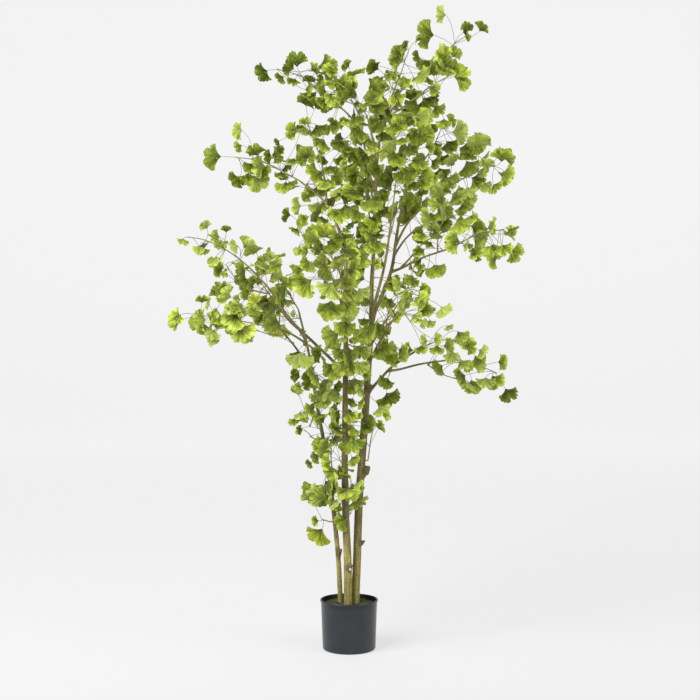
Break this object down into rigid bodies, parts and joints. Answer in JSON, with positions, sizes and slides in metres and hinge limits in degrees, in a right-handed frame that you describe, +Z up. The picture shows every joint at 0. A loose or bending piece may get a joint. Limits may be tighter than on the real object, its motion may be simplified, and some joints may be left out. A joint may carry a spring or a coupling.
{
  "type": "potted ginkgo tree",
  "caption": "Tall slender ginkgo with several upright stems, arching twigs and fan-shaped leaves, standing in a plain round nursery pot.",
  "frame": {"origin": "centre of the pot's flat underside, on the surface that the pot stands on", "axes": "+Z up along the stems, -Y towards the front of the pictured view, +X to its right"},
  "size_m": [1.023, 0.8055, 1.8118],
  "materials": {
    "pot_plastic": "satin",
    "soil": "matte",
    "stem_bark": "matte",
    "ginkgo_leaf": "matte"
  },
  "bodies": {
    "root": {"pot": "pot_plastic", "soil": "soil", "left_stem": "stem_bark", "middle_stem": "stem_bark", "right_stem": "stem_bark", "spray_01": "ginkgo_leaf", "spray_02": "ginkgo_leaf", "spray_03": "ginkgo_leaf", "spray_04": "ginkgo_leaf", "spray_05": "ginkgo_leaf", "spray_06": "ginkgo_leaf", "spray_07": "ginkgo_leaf", "spray_08": "ginkgo_leaf", "spray_09": "ginkgo_leaf", "spray_10": "ginkgo_leaf", "spray_11": "ginkgo_leaf", "spray_12": "ginkgo_leaf", "spray_13": "ginkgo_leaf", "spray_14": "ginkgo_leaf", "spray_15": "ginkgo_leaf", "spray_16": "ginkgo_leaf", "spray_17": "ginkgo_leaf", "spray_18": "ginkgo_leaf", "spray_19": "ginkgo_leaf", "spray_20": "ginkgo_leaf", "spray_21": "ginkgo_leaf", "spray_22": "ginkgo_leaf", "spray_23": "ginkgo_leaf", "spray_24": "ginkgo_leaf", "spray_25": "ginkgo_leaf", "spray_26": "ginkgo_leaf", "spray_27": "ginkgo_leaf", "spray_28": "ginkgo_leaf", "spray_29": "ginkgo_leaf", "spray_30": "ginkgo_leaf", "spray_31": "ginkgo_leaf", "spray_32": "ginkgo_leaf", "spray_33": "ginkgo_leaf", "spray_34": "ginkgo_leaf", "spray_35": "ginkgo_leaf", "spray_36": "ginkgo_leaf", "spray_37": "ginkgo_leaf", "spray_38": "ginkgo_leaf", "spray_39": "ginkgo_leaf", "spray_40": "ginkgo_leaf", "spray_41": "ginkgo_leaf", "spray_42": "ginkgo_leaf", "spray_43": "ginkgo_leaf", "spray_44": "ginkgo_leaf", "spray_45": "ginkgo_leaf", "spray_46": "ginkgo_leaf", "spray_47": "ginkgo_leaf", "spray_48": "ginkgo_leaf", "spray_49": "ginkgo_leaf", "spray_50": "ginkgo_leaf", "spray_51": "ginkgo_leaf", "spray_52": "ginkgo_leaf", "spray_53": "ginkgo_leaf", "spray_54": "ginkgo_leaf"}
  },
  "joints": []
}
